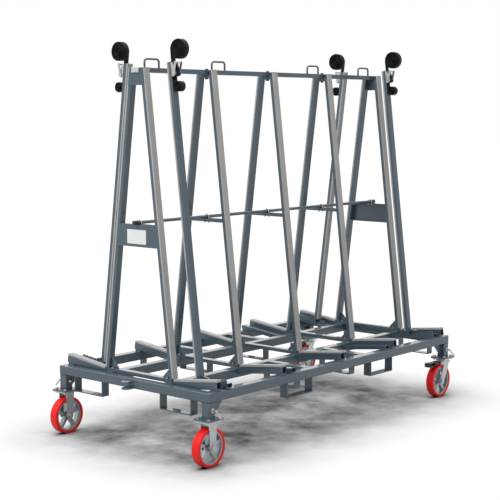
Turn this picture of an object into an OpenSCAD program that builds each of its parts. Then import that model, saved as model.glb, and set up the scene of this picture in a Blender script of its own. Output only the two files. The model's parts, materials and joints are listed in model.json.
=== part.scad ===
// Sheet goods cart: a welded base on four casters with five leaning A-frames,
// padded ledges on both sides, sliding retaining posts and ratchet straps.
// +X runs along the cart toward the swivel casters, +Z is up, the floor is z = 0,
// and the origin is the middle of the space that the whole cart takes on the floor.

/* [Base frame] */
// Length of the base over its end beams
base_len = 2256; // [2100:1:3000]
// Width of the base over its long beams
base_w = 1110; // [1020:1:1300]
// Side of the square tube of the base
beam = 50; // [46:1:56]
// Wall of the square tube
beam_wall = 3; // [2:0.5:5]
// Outer corner radius of the square tube
beam_round = 5; // [3:0.5:8]
// How far the heel line of the pads stands out from the inner rails
heel_over = 9; // [4:1:16]
// Distance of each outrigger's middle from the cart's middle
outrigger_off = 259; // [240:1:270]

/* [A-frames] */
// Distance of the end A-frames' middles from the ends of the base
frame_inset = 80; // [76:1:110]
// Lean of the posts and rise of the ledges
lean = 7; // [4:0.5:10]
// Width of posts, arms and pads along the cart
post_w = 38; // [30:1:44]
// Depth of the post tube across the cart
post_t = 19; // [15:1:30]
// Wall of the post, arm and rail tubes
tube_wall = 2.5; // [1.5:0.5:4]
// Length of a post pad up the slope
post_len = 1612; // [1400:1:1700]
// Thickness of the rubber pads
pad_t = 10; // [6:1:14]
// Clear gap between the foot of a post pad and the ledge pad
pad_gap = 2; // [1:0.5:5]
// Height of the ledge arm tube
arm_h = 38; // [30:1:42]
// Gap between a ledge arm and the inner edge of the long beam
arm_clear = 3.5; // [2:0.5:12]
// How far the top of a ledge's end stays back from the side of the base
arm_back = 4; // [0:1:20]
// Side of the gusset at each post foot
gusset_side = 58; // [40:1:80]
// Thickness of gussets and brackets
plate_t = 6; // [4:1:10]

/* [Braces and ridge] */
// Height of the top of the mid braces above the floor
mid_top = 1191; // [1000:1:1300]
// Height of the end mid plates
mid_plate_h = 118; // [80:1:140]
// Thickness of the bent end plates
sheet_t = 4; // [3:0.5:6]
// Height of the interior mid bars and top brackets
mid_bar_h = 18; // [12:1:30]
// Height of the end top plates
top_plate_h = 90; // [70:1:110]
// Width of the ridge tube
ridge_w = 50; // [40:1:54]
// Height of the ridge tube
ridge_h = 25; // [20:1:30]
// Gap between the ridge tube and the head of a post
post_gap = 3.5; // [1:0.5:10]
// How far the ridge end cap stands out
ridge_cap_out = 8; // [4:1:14]
// Diameter of the centre rod
rod_d = 18.5; // [14:0.5:22]
// How far the centre rod runs past the end A-frames
rod_over = 24; // [12:1:36]
// Diameter of the bar of the lifting loops
loop_bar_d = 11; // [8:1:14]
// Width of a lifting loop over its legs
loop_w = 118; // [90:1:140]
// Height of a lifting loop above the ridge tube
loop_h = 52; // [40:1:80]
// Distance of a lifting loop's middle from its A-frame
loop_off = 95; // [85:1:120]

/* [Retaining posts] */
// Distance of a slide rail's middle from its A-frame
stop_off = 78; // [70:1:95]
// Height of the slide rail tube
rail_h = 23; // [16:1:24]
// Distance of the rail's top below the pad surface of the ledge
rail_drop = 28; // [22:1:30]
// Thickness of the toothed rack on a rail
rack_t = 4; // [3:0.5:8]
// Height of the rack's teeth above the rail
rack_h = 16; // [8:1:20]
// Distance between the rack's teeth
tooth_pitch = 22; // [18:1:26]
// Length of a tooth at its root
tooth_len = 18; // [12:1:20]
// Depth of the notches between the teeth
tooth_h = 8; // [4:1:12]
// Room for sheets between post pad and retaining pad
stop_gap = 86; // [60:1:100]
// Height of a retaining post above the heel line, up its slope
stop_top = 1627; // [1500:1:1700]
// How far the shoe reaches past the post on both sides
shoe_over = 8; // [4:1:16]
// Thickness of the shoe plates
shoe_t = 5; // [3:1:8]
// Length of the pawl that stands out from the post over the rack
pawl_len = 50; // [30:1:60]
// Width of the pawl
pawl_w = 12; // [8:1:20]
// Height of the pawl beside the post
pawl_h = 18; // [10:1:25]

/* [Ratchets and straps] */
// Width of the webbing
web_w = 35; // [25:1:36]
// Thickness of the webbing
web_t = 2.4; // [1.6:0.1:2.6]
// Distance from turn to turn in a roll
web_pitch = 3.2; // [3.1:0.1:3.6]
// Turns in the large roll
big_turns = 12; // [8:1:13]
// Turns in the small roll
small_turns = 4.5; // [3:0.5:6]
// Turns wound on the ratchet spool
spool_turns = 2; // [1:1:2]
// Radius of the innermost turn
roll_core_r = 13; // [10:1:16]
// Height of the large roll's middle, up the slope
big_roll_v = 1684; // [1682:1:1720]
// Height of the small roll's middle, up the slope
small_roll_v = 1498; // [1440:1:1505]
// Height of the ratchet's foot, up the slope
ratchet_v = 1550; // [1546:1:1560]
// Height of the ratchet frame
ratchet_h = 72; // [60:1:76]
// Depth of the ratchet frame
ratchet_d = 27; // [24:1:34]
// Diameter of the ratchet spool
spool_d = 13; // [10:1:13]
// Length of the ratchet handle from the spool
handle_len = 56; // [48:1:58]
// Teeth of a ratchet wheel
ratchet_teeth = 13; // [9:1:17]

/* [Casters] */
// Overall height of a caster
caster_h = 241; // [236:1:260]
// Diameter of the wheels
wheel_d = 203; // [180:1:206]
// Width of the wheels
wheel_w = 50; // [44:1:54]
// Thickness of the tread
tread_t = 15; // [10:1:20]
// Trail of the swivel casters
trail = 50; // [35:1:56]
// Length of the caster plates along the cart
caster_plate_len = 115; // [105:1:125]
// Width of the caster plates
caster_plate_w = 102; // [96:1:110]
// Thickness of the caster plate
caster_plate_t = 6; // [4:1:8]
// Bolt spacing of the caster plate along the cart
bolt_len = 80; // [74:1:86]
// Bolt spacing of the caster plate across the cart
bolt_w = 70; // [64:1:76]
// Diameter of the caster bolts
caster_bolt_d = 10; // [8:1:12]
// Thickness of the fork legs
fork_t = 5; // [4:1:7]
// Diameter of the wheel axles
axle_d = 16; // [12:1:20]
// Spokes of a wheel
spokes = 5; // [4:1:7]
// Thickness of a wheel's rim under the tread
rim_t = 9; // [6:1:14]
// Length of the brake pedal from its pivot
pedal_len = 110; // [90:1:120]
// Width of the brake pedal
pedal_w = 44; // [36:1:48]

/* [Corner legs] */
// Length of a corner leg below the beams
leg_h = 82; // [76:1:100]
// Thickness of the adapter plate under a leg
adapter_t = 8; // [6:1:12]
// Side of the leg gussets
leg_gusset = 72; // [50:1:80]
// Diameter of the hitch pins
pin_d = 12; // [10:0.5:14]
// How far a hitch pin's handle stands out from the leg
pin_out = 60; // [45:1:75]
// How far a hitch pin's handle hangs down
pin_drop = 34; // [20:1:36]

/* [Fork pockets and hitch] */
// Width of the pocket straps
pocket_strap_w = 50; // [40:1:50]
// Thickness of the pocket straps
pocket_strap_t = 6; // [4:1:8]
// Clear width of a fork pocket
pocket_clear = 209; // [180:1:215]
// Clear height of a fork pocket
pocket_h = 74; // [60:1:76]
// How far the tow hitch reaches out
hitch_out = 55; // [46:1:70]
// Width of the tow hitch ears
hitch_w = 50; // [40:1:60]
// Thickness of the tow hitch ears
hitch_t = 8; // [6:1:12]
// Depth of the upper tow hitch ear below the beam's top
hitch_drop = 8; // [5:1:12]
// Diameter of the tow hitch hole
hitch_hole_d = 18; // [14:1:22]

/* [Hidden] */
$fn = 48;
// Overrun of every cut
over = 1;
// Radial clearance of a running fit
run_fit = 0.05;
// Gap between soft or curved pieces that only lie on each other
lie_gap = 0.3;
// Clearance of a sliding shoe or plug
slide_gap = 1;

frame_paint = [0.31, 0.36, 0.40];
pad_grey = [0.66, 0.66, 0.66];
zinc = [0.72, 0.73, 0.74];
tread_red = [0.80, 0.13, 0.12];
webbing_black = [0.08, 0.08, 0.08];
core_grey = [0.55, 0.56, 0.57];
cap_grey = [0.72, 0.72, 0.70];

// The rigid wheels reach further than the trailing ones, so the middle of the space lies off the frame's
cart_shift = (wheel_d / 2 - max(wheel_d / 2 - trail, caster_plate_len / 2)) / 2;

// Heights
adapter_top = caster_h + adapter_t;
beam_bottom = adapter_top + leg_h;
base_top = beam_bottom + beam;

// Places across and along the cart
long_beam_y = base_w / 2 - beam / 2;
end_beam_x = base_len / 2 - beam / 2;
end_frame_x = base_len / 2 - frame_inset;
frame_pitch = end_frame_x / 2;
frame_xs = [for (i = [-2:2]) i * frame_pitch];

// The heel line, where a post pad's face meets the ledge pad's: the posts meet the ridge tube at their heads
heel_y = ridge_w / 2 + post_gap + (pad_t + post_t) * cos(lean) + (pad_gap + post_len) * sin(lean);
rail_out = heel_y - heel_over;
rail_off = rail_out - beam / 2;
// The ledge arms pass above the inner edge of the long beams
arm_v = -pad_t - arm_h;
edge_u = (long_beam_y - beam / 2 - heel_y + arm_v * sin(lean)) / cos(lean);
heel_z = base_top + arm_clear - edge_u * sin(lean) - arm_v * cos(lean);
// The foot bars end below the inner edge of the ledge's face, so that a sheet lies clear of them
foot_top = heel_z - heel_over * tan(lean) - lie_gap;
foot_h = foot_top - base_top;
arm_reach = (base_w / 2 - arm_back - heel_y) / cos(lean);

// The side pockets stand beside the outriggers' straps, the end pockets' inner straps under the inner rails
side_pocket_off = outrigger_off + pocket_strap_w / 2 + pocket_clear / 2;
end_pocket_off = rail_off + pocket_clear / 2;

// Places along the A-frames
stop_x = end_frame_x - stop_off;
rail_xs = [end_frame_x - stop_off, frame_pitch - stop_off];
loop_xs = [end_frame_x - loop_off, frame_pitch - loop_off];

// Places measured out from the heel line
post_out = -pad_t;
post_in = post_out - post_t;
stop_in = stop_gap + pad_t;
stop_out = stop_in + post_t;

// Slope coordinates: u runs out and up along the ledge, v runs up along the post
function slope_y(u, v) = heel_y + u * cos(lean) - v * sin(lean);
function slope_z(u, v) = heel_z + u * sin(lean) + v * cos(lean);
// How far up the slope the face at u crosses a height
function v_at(u, z) = (z - heel_z - u * sin(lean)) / cos(lean);
// Distance from the middle plane of the face at u, at a height
function face_y(u, z) = slope_y(u, v_at(u, z));
// How far out along a ledge line at v a distance from the middle plane is met
function u_at(v, y) = (y - heel_y + v * sin(lean)) / cos(lean);

module on_cart() {
    translate([cart_shift, 0, 0]) children();
}

module on_slope() {
    translate([0, heel_y, heel_z]) rotate([lean, 0, 0]) children();
}

module both_sides() {
    children();
    mirror([0, 1, 0]) children();
}

module both_ends() {
    children();
    mirror([1, 0, 0]) children();
}

// Draws what stands at the +X +Y corner at the corner with the given signs
module at_corner(sx, sy) {
    mirror([sx < 0 ? 1 : 0, 0, 0]) mirror([0, sy < 0 ? 1 : 0, 0]) children();
}

module block(lo, hi) {
    translate(lo) cube(hi - lo);
}

// An outline in the YZ plane, drawn from x0 to x1
module across_x(x0, x1) {
    translate([x0, 0, 0]) rotate([90, 0, 90]) linear_extrude(x1 - x0) children();
}

// An outline in the XZ plane, drawn from y0 to y1
module across_y(y0, y1) {
    translate([0, y1, 0]) rotate([90, 0, 0]) linear_extrude(y1 - y0) children();
}

module rod_x(x0, x1, d) {
    translate([x0, 0, 0]) rotate([0, 90, 0]) cylinder(h = x1 - x0, d = d);
}

module rod_y(y0, y1, d) {
    translate([0, y1, 0]) rotate([90, 0, 0]) cylinder(h = y1 - y0, d = d);
}

module rounded(w, h, r) {
    square([w - 2 * r, h], center = true);
    square([w, h - 2 * r], center = true);
    for (x = [-1, 1], y = [-1, 1]) {
        translate([x * (w / 2 - r), y * (h / 2 - r)]) circle(r, $fn = 24);
    }
}

module beam_section() {
    difference() {
        rounded(beam, beam, beam_round);
        rounded(beam - 2 * beam_wall, beam - 2 * beam_wall, beam_round - beam_wall / 2);
    }
}

// A plain tube of the A-frames, box shaped from lo to hi and open along one axis
module plain_tube(lo, hi, axis) {
    wall = [for (i = [0:2]) i == axis ? -over : tube_wall];
    difference() {
        block(lo, hi);
        block(lo + wall, hi - wall);
    }
}

// Base frame

// One side of a corner's mitre plane, from lo to lo + beam off it
module mitre_side(lo) {
    translate([end_beam_x, long_beam_y, beam_bottom - over])
        rotate(45) translate([-beam, lo, 0]) cube([2 * beam, beam, beam + 2 * over]);
}

module long_beams() {
    color(frame_paint) on_cart() both_sides() difference() {
        translate([-base_len / 2, long_beam_y, beam_bottom + beam / 2])
            rotate([90, 0, 90]) linear_extrude(base_len) beam_section();
        both_ends() mitre_side(-beam);
    }
}

module end_beams() {
    color(frame_paint) on_cart() both_ends() difference() {
        translate([end_beam_x, base_w / 2, beam_bottom + beam / 2])
            rotate([90, 0, 0]) linear_extrude(base_w) beam_section();
        both_sides() mitre_side(0);
    }
}

module inner_frame() {
    rail_half = end_beam_x - beam / 2;
    color(frame_paint) on_cart() both_sides() {
        translate([-rail_half, rail_off, beam_bottom + beam / 2])
            rotate([90, 0, 90]) linear_extrude(2 * rail_half) beam_section();
        both_ends() {
            translate([outrigger_off, long_beam_y - beam / 2, beam_bottom + beam / 2])
                rotate([90, 0, 0]) linear_extrude(long_beam_y - beam / 2 - rail_out) beam_section();
        }
    }
}

pin_z = adapter_top + leg_h / 2 + plate_t / 2;

module leg_gusset_plate() {
    lip = plate_t * 2;
    polygon([[0, 0], [leg_gusset, 0], [leg_gusset, -lip], [lip, -leg_gusset], [0, -leg_gusset]]);
}

module corner_legs() {
    color(frame_paint) on_cart() both_ends() both_sides() translate([end_beam_x, long_beam_y, 0]) {
        difference() {
            translate([0, 0, adapter_top]) linear_extrude(leg_h) beam_section();
            translate([0, 0, pin_z]) rod_y(-beam / 2 - over, beam / 2 + over, pin_d + 2 * run_fit);
        }
        translate([-beam / 2, 0, beam_bottom]) mirror([1, 0, 0])
            across_y(-plate_t / 2, plate_t / 2) leg_gusset_plate();
    }
}

// A pocket strap below z = 0, its opening along Y
module pocket_strap() {
    half = pocket_clear / 2;
    wide = pocket_strap_w / 2;
    for (s = [-1, 1]) {
        translate([s * (half + pocket_strap_t / 2), 0, -pocket_h / 2])
            cube([pocket_strap_t, 2 * wide, pocket_h], center = true);
    }
    block([-half - pocket_strap_t, -wide, -pocket_h - pocket_strap_t],
          [half + pocket_strap_t, wide, -pocket_h]);
}

module fork_pockets() {
    color(frame_paint) on_cart() both_ends() both_sides() translate([0, 0, beam_bottom]) {
        translate([side_pocket_off, long_beam_y, 0]) pocket_strap();
        for (x = [end_beam_x, outrigger_off]) {
            translate([x, end_pocket_off, 0]) rotate(90) pocket_strap();
        }
    }
}

hitch_hole_out = hitch_out - hitch_w / 2;

module hitch_ear() {
    linear_extrude(hitch_t) difference() {
        intersection() {
            union() {
                translate([-hitch_hole_out, -hitch_w / 2]) square([hitch_hole_out, hitch_w]);
                translate([-hitch_hole_out, 0]) circle(d = hitch_w);
            }
            translate([-hitch_out, -hitch_w / 2]) square([hitch_out, hitch_w]);
        }
        translate([-hitch_hole_out, 0]) circle(d = hitch_hole_d);
    }
}

module tow_hitch() {
    color(frame_paint) on_cart() translate([-base_len / 2, 0, beam_bottom]) {
        hitch_ear();
        translate([0, 0, beam - hitch_drop - hitch_t]) hitch_ear();
    }
}

// A-frames

module at_frames() {
    for (x = frame_xs) {
        translate([x, 0, 0]) children();
    }
}

module foot_bars() {
    foot_in = face_y(post_in, foot_top);
    color(frame_paint) on_cart() at_frames() {
        difference() {
            block([-post_w / 2, -rail_out, base_top], [post_w / 2, rail_out, foot_top]);
            block([-post_w / 2 + tube_wall, -rail_out - over, base_top + tube_wall],
                  [post_w / 2 - tube_wall, rail_out + over, foot_top - tube_wall]);
        }
        both_sides() across_x(-plate_t / 2, plate_t / 2) polygon([
            [foot_in - gusset_side, foot_top],
            [foot_in, foot_top],
            [face_y(post_in, foot_top + gusset_side), foot_top + gusset_side],
            [foot_in - gusset_side, foot_top + plate_t]
        ]);
    }
}

module frame_posts() {
    color(frame_paint) on_cart() at_frames() both_sides() difference() {
        on_slope() plain_tube([-post_w / 2, post_in, -foot_h],
                              [post_w / 2, post_out, pad_gap + post_len], 2);
        block([-post_w, 0, foot_top - 2 * foot_h], [post_w, heel_y, foot_top]);
    }
}

module post_pads() {
    color(pad_grey) on_cart() at_frames() both_sides() on_slope()
        block([-post_w / 2, post_out, pad_gap], [post_w / 2, 0, pad_gap + post_len]);
}

// Cuts away what lies inside the outer face of the inner rail
module heel_cut() {
    block([-beam, 0, beam_bottom], [beam, rail_out, foot_top + arm_h]);
}

// The wedge that seats a tube, whose underside lies at v, on the long beam, welded into its wall
module seat_wedge(underside) {
    v = underside + tube_wall / 2;
    seat_in = long_beam_y - beam / 2 + beam_round;
    seat_out = long_beam_y + beam / 2 - beam_round;
    across_x(-post_w / 2, post_w / 2) polygon([
        [seat_in, base_top],
        [seat_out, base_top],
        [seat_out, slope_z(u_at(v, seat_out), v)],
        [seat_in, slope_z(u_at(v, seat_in), v)]
    ]);
}

module ledge_arms() {
    color(frame_paint) on_cart() at_frames() both_sides() {
        difference() {
            on_slope() plain_tube([-post_w / 2, -beam, arm_v], [post_w / 2, arm_reach, -pad_t], 1);
            heel_cut();
        }
        seat_wedge(arm_v);
    }
}

module ledge_pads() {
    color(pad_grey) on_cart() at_frames() both_sides() on_slope()
        block([-post_w / 2, 0, -pad_t], [post_w / 2, arm_reach, 0]);
}

rail_top = -rail_drop;
rail_bottom = rail_top - rail_h;
rack_top = rail_top + rack_h;
rack_us = [for (u = [arm_reach - tooth_pitch * 1.25:-tooth_pitch:2 * tooth_pitch]) u];

// A toothed strip on edge, its outline in slope coordinates, sunk into the rail's wall
module rack() {
    root = tooth_len / 2;
    tip = root * 0.8;
    last = len(rack_us) - 1;
    notch = rack_top - tooth_h;
    across_x(-rack_t / 2, rack_t / 2) polygon(concat(
        [[rack_us[0] + root, rail_top - tube_wall / 2]],
        [for (u = rack_us, side = [1, -1], step = [0, 1])
            let (on_tip = side > 0 ? step == 1 : step == 0)
            [u + side * (on_tip ? tip : root), on_tip ? rack_top : notch]],
        [[rack_us[last] - root, rail_top - tube_wall / 2]]
    ));
}

module slide_rail() {
    difference() {
        on_slope() plain_tube([-post_w / 2, -beam, rail_bottom], [post_w / 2, arm_reach, rail_top], 1);
        heel_cut();
    }
    seat_wedge(rail_bottom);
}

module slide_rails() {
    color(frame_paint) on_cart() both_ends() both_sides() {
        for (x = rail_xs) {
            translate([x, 0, 0]) slide_rail();
        }
        translate([rail_xs[0], 0, 0]) on_slope() rack();
    }
}

// Braces, ridge and centre rod

// The outline between the faces at u of the two posts, from z0 to z1
module between_posts(u, z0, z1) {
    polygon([
        [-face_y(u, z0), z0],
        [face_y(u, z0), z0],
        [face_y(u, z1), z1],
        [-face_y(u, z1), z1]
    ]);
}

mid_plate_z = mid_top - mid_plate_h;
post_end_x = end_frame_x + post_w / 2;

module mid_braces() {
    color(frame_paint) on_cart() {
        for (i = [1:3]) {
            translate([frame_xs[i], 0, 0]) difference() {
                across_x(-post_w / 2, post_w / 2) between_posts(post_in, mid_top - mid_bar_h, mid_top);
                clamp_holes();
            }
        }
        both_ends() difference() {
            union() {
                across_x(post_end_x - sheet_t, post_end_x) between_posts(post_in, mid_plate_z, mid_top);
                for (z = [mid_plate_z, mid_top - sheet_t]) {
                    across_x(post_end_x - post_w, post_end_x - sheet_t)
                        between_posts(post_in, z, z + sheet_t);
                }
            }
            translate([end_frame_x, 0, 0]) clamp_holes();
        }
    }
}

ridge_top = slope_z(post_out, pad_gap + post_len);
ridge_bottom = ridge_top - ridge_h;
ridge_out = post_end_x + sheet_t;

module top_brackets() {
    color(frame_paint) on_cart() {
        for (i = [1:3]) {
            translate([frame_xs[i], 0, 0]) difference() {
                across_x(-post_w / 2, post_w / 2)
                    between_posts(post_in, ridge_bottom - mid_bar_h, ridge_bottom);
                ridge_bolt_hole();
            }
        }
        both_ends() across_x(post_end_x, ridge_out) difference() {
            between_posts(post_out, ridge_top - top_plate_h, ridge_top);
            translate([-ridge_w / 2, ridge_bottom]) square([ridge_w, ridge_h + over]);
        }
    }
}

module ridge_tube() {
    color(frame_paint) on_cart() difference() {
        plain_tube([-ridge_out, -ridge_w / 2, ridge_bottom], [ridge_out, ridge_w / 2, ridge_top], 0);
        for (i = [1:3]) {
            translate([frame_xs[i], 0, 0]) ridge_bolt_hole();
        }
    }
}

module end_caps() {
    plug = 2 * tube_wall;
    color(cap_grey) on_cart() both_ends() {
        translate([ridge_out, 0, ridge_bottom + ridge_h / 2]) rotate([90, 0, 90])
            linear_extrude(ridge_cap_out) rounded(ridge_w, ridge_h, tube_wall);
        block([ridge_out - plug * 2, -ridge_w / 2 + plug / 2, ridge_bottom + plug / 2],
              [ridge_out, ridge_w / 2 - plug / 2, ridge_top - plug / 2]);
    }
}

// A bar bent square, its legs down to z = 0, its middle line on the XZ plane
module bent_loop(w, h, d, bend) {
    half = w / 2 - d / 2;
    high = h - d / 2;
    for (s = [-1, 1]) {
        translate([s * half, 0, 0]) cylinder(h = high - bend, d = d, $fn = 24);
        translate([s * (half - bend), 0, high - bend]) rotate([90, 0, 0]) rotate(s > 0 ? 0 : 90)
            rotate_extrude(angle = 90, $fn = 24) translate([bend, 0]) circle(d = d, $fn = 24);
    }
    translate([0, 0, high]) rod_x(-half + bend, half - bend, d, $fn = 24);
}

module lifting_loops() {
    color(frame_paint) on_cart() both_ends() for (x = loop_xs) {
        translate([x, 0, ridge_top]) bent_loop(loop_w, loop_h, loop_bar_d, loop_bar_d * 1.5);
    }
}

rod_z = mid_top + rod_d / 2;
clamp_d = 6;
ridge_bolt_d = 10;
foot_bolt_d = 8;
foot_bolt_x = (post_w + plate_t) / 4;
foot_bolt_y = rail_off - beam / 2 + foot_bolt_d;
// Sizes of a hex head or nut, as shares of its bolt
nut_share = 0.7;
hex_share = 1.85;

module centre_rod() {
    cap_d = rod_d + 2 * tube_wall;
    color(frame_paint) on_cart() translate([0, 0, rod_z]) {
        rod_x(-post_end_x - rod_over, post_end_x + rod_over, rod_d);
    }
    color(webbing_black) on_cart() both_ends() translate([0, 0, rod_z]) {
        difference() {
            rod_x(post_end_x, post_end_x + rod_over + tube_wall, cap_d);
            rod_x(post_end_x - over, post_end_x + rod_over, rod_d);
        }
    }
}

// A hex head or nut on a vertical axis, standing on z = 0
module hex(d) {
    cylinder(h = d * nut_share, d = d * hex_share, $fn = 6);
}

module vertical(z0, z1, d) {
    translate([0, 0, z0]) cylinder(h = z1 - z0, d = d);
}

// A clamp over the rod, its legs going down through what the rod lies on
module rod_clamp(under) {
    leg_y = rod_d / 2 + clamp_d / 2 + lie_gap;
    translate([0, 0, rod_z]) rotate([90, 0, 90]) rotate_extrude(angle = 180, $fn = 24)
        translate([leg_y, 0]) circle(d = clamp_d, $fn = 24);
    for (s = [-1, 1]) {
        translate([0, s * leg_y, 0]) {
            vertical(under - 1.5 * clamp_d, rod_z, clamp_d, $fn = 24);
            translate([0, 0, under - clamp_d * nut_share]) hex(clamp_d);
        }
    }
}

module clamp_holes() {
    leg_y = rod_d / 2 + clamp_d / 2 + lie_gap;
    for (s = [-1, 1]) {
        translate([0, s * leg_y, 0])
            vertical(mid_plate_z + 2 * sheet_t, mid_top + over, clamp_d + 2 * lie_gap, $fn = 24);
    }
}

module ridge_bolt_hole() {
    vertical(ridge_bottom - mid_bar_h - over, ridge_top + over, ridge_bolt_d + 2 * lie_gap, $fn = 24);
}

module frame_fasteners() {
    color(zinc) on_cart() {
        for (i = [1:3]) {
            translate([frame_xs[i], 0, 0]) {
                rod_clamp(mid_top - mid_bar_h);
                vertical(ridge_bottom - mid_bar_h, ridge_top, ridge_bolt_d, $fn = 24);
                translate([0, 0, ridge_top]) hex(ridge_bolt_d);
                translate([0, 0, ridge_bottom - mid_bar_h]) mirror([0, 0, 1]) hex(ridge_bolt_d);
            }
        }
        both_ends() translate([end_frame_x, 0, 0]) rod_clamp(mid_top - sheet_t);
        at_frames() both_sides() for (s = [-1, 1]) {
            translate([s * foot_bolt_x, foot_bolt_y, foot_top]) hex(foot_bolt_d);
        }
        both_ends() both_sides() translate([end_beam_x, long_beam_y, 0]) corner_bolts();
    }
}

// Casters

wheel_r = wheel_d / 2;
fork_in = wheel_w / 2 + 2 * slide_gap;
fork_out = fork_in + fork_t;
hub_r = axle_d;
plate_bottom = caster_h - caster_plate_t;

module at_bolts() {
    for (x = [-1, 1], y = [-1, 1]) {
        translate([x * bolt_len / 2, y * bolt_w / 2, 0]) children();
    }
}

module corner_bolts() {
    at_bolts() {
        vertical(plate_bottom - caster_bolt_d * nut_share, adapter_top, caster_bolt_d, $fn = 24);
        translate([0, 0, adapter_top]) hex(caster_bolt_d);
        translate([0, 0, plate_bottom - caster_bolt_d * nut_share]) hex(caster_bolt_d);
    }
}

module corner_bolt_holes() {
    at_bolts() vertical(plate_bottom - over, adapter_top + over, caster_bolt_d + 2 * lie_gap, $fn = 24);
}

foot_r = axle_d * 1.4;
head_r = axle_d * 1.8;
race_r = 40;
race_h = 8;
race_gap = 0.5;
race_bottom = plate_bottom - race_h;
king_d = 16;
king_nut = 8;
crown_t = 8;
pedal_pin_d = 8;
crown_top = race_bottom - race_gap - race_h;
crown_bottom = crown_top - crown_t;
pedal_pin_x = -1.5 * pedal_pin_d;
pedal_pin_z = wheel_d + 1.25 * pedal_pin_d;

// The adapter with its stub up inside the leg, and the swivel casters' top plates
module caster_plates() {
    plug = beam - 2 * beam_wall - slide_gap;
    half_len = caster_plate_len / 2;
    half_w = caster_plate_w / 2;
    color(zinc) on_cart() both_ends() both_sides() translate([end_beam_x, long_beam_y, 0]) {
        difference() {
            block([-half_len, -half_w, caster_h], [half_len, half_w, adapter_top]);
            corner_bolt_holes();
        }
        difference() {
            translate([0, 0, adapter_top]) linear_extrude(leg_h - slide_gap) difference() {
                rounded(plug, plug, beam_round - beam_wall / 2);
                square(plug - 2 * beam_wall, center = true);
            }
            translate([0, 0, pin_z]) rod_y(-beam, beam, pin_d + 2 * run_fit);
        }
    }
    color(zinc) on_cart() both_sides() translate([end_beam_x, long_beam_y, 0]) {
        difference() {
            block([-half_len, -half_w, plate_bottom], [half_len, half_w, caster_h]);
            corner_bolt_holes();
        }
        vertical(race_bottom, plate_bottom, 2 * race_r);
        vertical(crown_bottom - king_nut, race_bottom, king_d);
        translate([0, 0, crown_bottom - race_gap - king_nut])
            cylinder(h = king_nut, d = king_d * hex_share, $fn = 6);
    }
}

module rigid_forks() {
    color(zinc) on_cart() both_sides() translate([-end_beam_x, long_beam_y, 0]) difference() {
        union() {
            block([-caster_plate_len / 2, -caster_plate_w / 2, plate_bottom],
                  [caster_plate_len / 2, caster_plate_w / 2, caster_h]);
            fork_legs(0, plate_bottom);
        }
        corner_bolt_holes();
        axle_hole();
    }
}

// A pair of fork legs from the axle up to a height, their tops standing off to +X
module fork_legs(top_x, top_z) {
    for (s = [-1, 1]) {
        translate([0, s * (fork_in + fork_t / 2), 0]) across_y(-fork_t / 2, fork_t / 2) {
            translate([0, wheel_r]) circle(foot_r);
            polygon([
                [-foot_r, wheel_r],
                [foot_r, wheel_r],
                [top_x + head_r, top_z],
                [top_x - head_r, top_z]
            ]);
        }
    }
}

module axle_hole() {
    translate([0, 0, wheel_r]) rod_y(-fork_out - over, fork_out + over, axle_d + 2 * run_fit);
}

module axle_bolt() {
    translate([0, 0, wheel_r]) {
        rod_y(-fork_out, fork_out, axle_d);
        both_sides() translate([0, fork_out, 0]) rotate([-90, 0, 0])
            cylinder(h = axle_d * nut_share / 2, d = axle_d * hex_share, $fn = 6);
    }
}

module rigid_axles() {
    color(zinc) on_cart() both_sides() translate([-end_beam_x, long_beam_y, 0]) axle_bolt();
}

// The middle of a swivel wheel on the floor, with its fork trailing to -X
module at_swivel(sy) {
    on_cart() translate([end_beam_x - trail, sy * long_beam_y, 0]) children();
}

module swivel_fork(sy) {
    cheek_h = 2 * pedal_pin_d;
    color(zinc) at_swivel(sy) difference() {
        union() {
            translate([trail, 0, 0]) vertical(crown_bottom, crown_top + race_h, 2 * race_r);
            block([trail - race_r, -fork_out, crown_bottom], [trail + race_r, fork_out, crown_top]);
            fork_legs(trail, crown_top);
            for (s = [-1, 1]) {
                translate([0, s * (fork_in + fork_t / 2), 0]) across_y(-fork_t / 2, fork_t / 2) {
                    translate([pedal_pin_x, pedal_pin_z]) circle(pedal_pin_d);
                    polygon([
                        [pedal_pin_x, pedal_pin_z - pedal_pin_d],
                        [trail, pedal_pin_z - cheek_h],
                        [trail, crown_top],
                        [pedal_pin_x, pedal_pin_z + pedal_pin_d]
                    ]);
                }
            }
        }
        translate([trail, 0, 0])
            vertical(crown_bottom - over, crown_top + race_h + over, king_d + 2 * run_fit);
        axle_hole();
        translate([pedal_pin_x, 0, pedal_pin_z])
            rod_y(-fork_out - over, fork_out + over, pedal_pin_d + 2 * run_fit);
    }
}

module swivel_axle(sy) {
    color(zinc) at_swivel(sy) axle_bolt();
}

// A foot lever folded from plate, with its pivot pin across the fork
module brake_pedal(sy) {
    pedal_t = sheet_t;
    root_z = pedal_pin_d;
    tip_z = crown_top + race_h - pedal_pin_z;
    skirt = 4 * pedal_t;
    color(webbing_black) at_swivel(sy) translate([pedal_pin_x, 0, pedal_pin_z]) {
        rod_y(-fork_out, fork_out, pedal_pin_d);
        rod_y(-fork_in + slide_gap, fork_in - slide_gap, 2 * pedal_pin_d);
        across_y(-pedal_w / 2, pedal_w / 2) polygon([
            [0, root_z - pedal_t],
            [-pedal_len, tip_z - pedal_t],
            [-pedal_len, tip_z],
            [0, root_z]
        ]);
        for (s = [-1, 1]) {
            translate([0, s * (pedal_w - pedal_t) / 2, 0]) across_y(-pedal_t / 2, pedal_t / 2) polygon([
                [0, -root_z / 2],
                [-pedal_len / 2, -root_z / 2],
                [-pedal_len, tip_z - skirt],
                [-pedal_len, tip_z],
                [0, root_z]
            ]);
        }
    }
}

// The wheel's middle under each corner
module at_wheel(sx, sy) {
    x = sx < 0 ? -end_beam_x : end_beam_x - trail;
    on_cart() translate([x, sy * long_beam_y, wheel_r]) rotate([90, 0, 0]) children();
}

core_r = wheel_r - tread_t;
core_w = wheel_w - 2 * sheet_t;
hub_w = 2 * (fork_in - slide_gap);

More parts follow.
